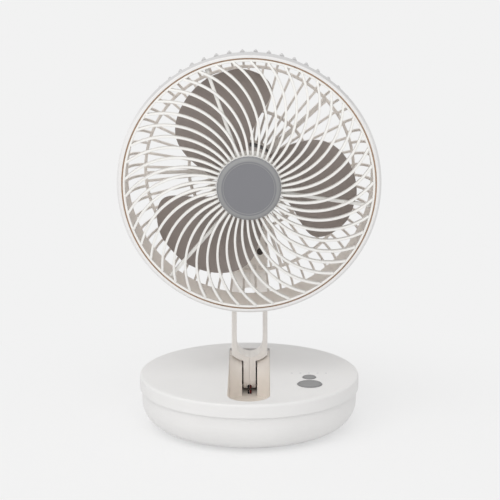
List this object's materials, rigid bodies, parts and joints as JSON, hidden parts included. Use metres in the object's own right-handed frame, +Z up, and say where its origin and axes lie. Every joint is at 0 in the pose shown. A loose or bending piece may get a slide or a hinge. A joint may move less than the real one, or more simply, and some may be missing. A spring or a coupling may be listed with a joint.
{
  "type": "folding desk fan",
  "caption": "Rechargeable desk fan: round cage with curved grille ribs and a broad-bladed rotor on a slim loop arm that folds into the well of a round base.",
  "frame": {"origin": "on the desk, under the centre of the round base, at the bottom of the rubber feet", "axes": "+Z up, the fan blows towards -Y, +X to the right as the user faces it"},
  "size_m": [0.204, 0.174, 0.3003],
  "materials": {
    "white_shell": "satin moulded plastic",
    "warm_white_grille": "satin moulded plastic",
    "grey_cap": "fine satin plastic",
    "taupe_rotor": "semi-gloss tinted plastic",
    "grey_button": "soft satin plastic",
    "rubber": "soft pads",
    "steel": "bright steel",
    "black_plastic": "moulded plastic",
    "cell_wrap": null,
    "board": "circuit board",
    "light": "clear light pipe",
    "red_lead": "insulated lead",
    "black_lead": "insulated lead",
    "core_iron": "laminated iron and ferrite",
    "copper_coil": "enamelled copper"
  },
  "bodies": {
    "base": {"base_lid": "white_shell", "arm_well": "white_shell", "base_bowl": "white_shell", "rubber_feet": "rubber", "base_screws": "steel", "hinge_cheek_left": "white_shell", "hinge_cheek_right": "white_shell", "cheek_screws": "steel", "hinge_pin": "steel", "hinge_washers": "steel", "battery_tray": "black_plastic", "battery_cells": "cell_wrap", "main_board": "board", "board_screws": "steel", "button_switches": "black_plastic", "status_leds": "light", "light_pipes": "light", "usb_socket": "steel", "charge_board": "board", "base_lead_red": "red_lead", "base_lead_black": "black_lead", "battery_lead": "red_lead"},
    "speed_button": {"speed_button": "grey_button"},
    "power_button": {"power_button": "grey_button"},
    "arm": {"arm_left_half": "white_shell", "arm_right_half": "white_shell", "arm_screws": "steel", "arm_lead_red": "red_lead", "arm_lead_black": "black_lead", "pivot_pin": "steel", "pivot_washers": "steel"},
    "head": {"rim_ring": "white_shell", "front_grille": "warm_white_grille", "hub_cap": "grey_cap", "rear_guard": "warm_white_grille", "head_bracket": "white_shell", "bracket_screws": "steel", "motor_base": "black_plastic", "motor_bearings": "steel", "stator_core": "core_iron", "stator_coils": "copper_coil", "motor_board": "board", "motor_screws": "steel", "motor_cover": "white_shell", "motor_lead_red": "red_lead", "motor_lead_black": "black_lead"},
    "rotor": {"fan_rotor": "taupe_rotor", "motor_bell": "steel", "magnet_ring": "core_iron", "motor_shaft": "steel", "rotor_nut": "black_plastic"}
  },
  "joints": [
    {"name": "arm_fold", "type": "hinge", "parent": "base", "child": "arm", "pos_m": [0, 0.056, 0.022], "axis": [1, 0, 0], "range_deg": [0, 90]},
    {"name": "head_fold", "type": "hinge", "parent": "arm", "child": "head", "pos_m": [0, 0.06, 0.1404], "axis": [1, 0, 0], "range_deg": [-180, 0]},
    {"name": "rotor_spin", "type": "hinge", "parent": "head", "child": "rotor", "pos_m": [0, 0.0037, 0.1983], "axis": [0, 1, 0], "continuous": true},
    {"name": "speed_button_press", "type": "slide", "parent": "base", "child": "speed_button", "axis": [0, 0, -1], "range_m": [0, 0.0008], "stiffness_N_per_m": 1500, "springref_m": -0.0005},
    {"name": "power_button_press", "type": "slide", "parent": "base", "child": "power_button", "axis": [0, 0, -1], "range_m": [0, 0.0008], "stiffness_N_per_m": 1500, "springref_m": -0.0005}
  ],
  "couplings": [
    {"joint": "head_fold", "follows": "arm_fold", "ratio": -2}
  ]
}
